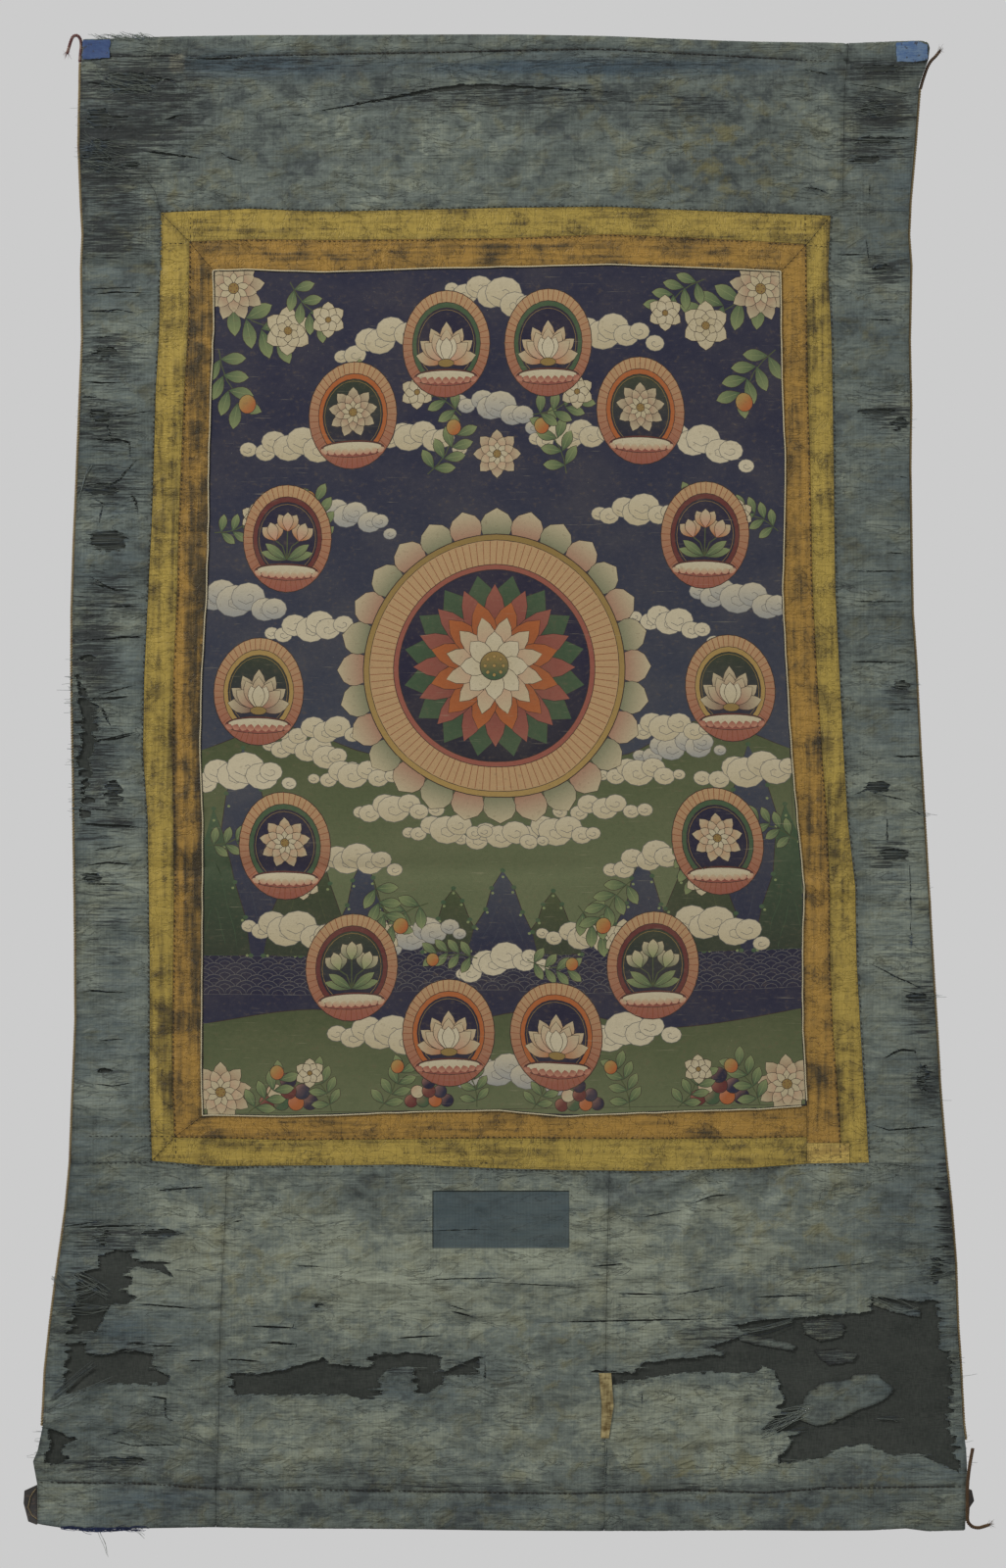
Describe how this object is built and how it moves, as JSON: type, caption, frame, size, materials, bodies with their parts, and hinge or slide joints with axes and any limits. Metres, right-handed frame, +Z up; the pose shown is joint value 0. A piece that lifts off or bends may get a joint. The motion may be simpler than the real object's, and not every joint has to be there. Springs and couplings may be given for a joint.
{
  "type": "thangka scroll painting in a silk mount",
  "caption": "Hanging scroll: a painted cloth panel framed by two yellow bands and a torn, faded silk mount with turned hems, cord edging and remains of ties.",
  "frame": {"origin": "middle of the top edge, in the cloth's hanging plane", "axes": "+Z up along the hanging cloth, +X to the viewer's right, the painted face looks towards -Y"},
  "size_m": [0.7875, 0.0214, 1.2211],
  "materials": {
    "silk": "worn, faded blue-green silk, split along its threads",
    "lining": "plain dark cotton",
    "band_outer": "ribbed gold-yellow silk with dark wear",
    "band_inner": "ribbed brown-gold silk",
    "band_patch": "brighter yellow silk",
    "canvas": "sized cotton painted in matt colours, creased from rolling",
    "cord_cream": "two-ply cream cotton cord",
    "cord_tan": "two-ply tan cotton cord",
    "satin": "blue satin",
    "leather": "stiff brown leather, scuffed",
    "darn": "small-figured yellow cloth",
    "tie_red": "braided red-brown silk cord",
    "tie_brown": "frayed brown yarn"
  },
  "bodies": {
    "root": {"lining": "lining", "silk_heading": "silk", "silk_heading_end": "silk", "silk_left_upper": "silk", "silk_left_lower": "silk", "silk_right_upper": "silk", "silk_right_lower": "silk", "silk_foot_left": "silk", "silk_foot_middle": "silk", "silk_foot_right": "silk", "silk_scrap": "silk", "band_outer_top": "band_outer", "band_outer_left": "band_outer", "band_outer_right": "band_outer", "band_outer_bottom": "band_outer", "band_inner_top": "band_inner", "band_inner_left": "band_inner", "band_inner_right": "band_inner", "band_inner_bottom": "band_inner", "band_corner_piece": "band_patch", "canvas": "canvas", "picture_cord": "cord_cream", "edge_cord_left": "cord_tan", "edge_cord_right": "cord_tan", "corner_patch_left": "satin", "corner_patch_right": "satin", "darn_strip": "darn", "end_tab_left": "leather", "end_tab_right": "leather", "tie_head_left": "tie_red", "tie_head_right": "tie_brown", "tie_foot_right": "tie_red"}
  },
  "joints": []
}
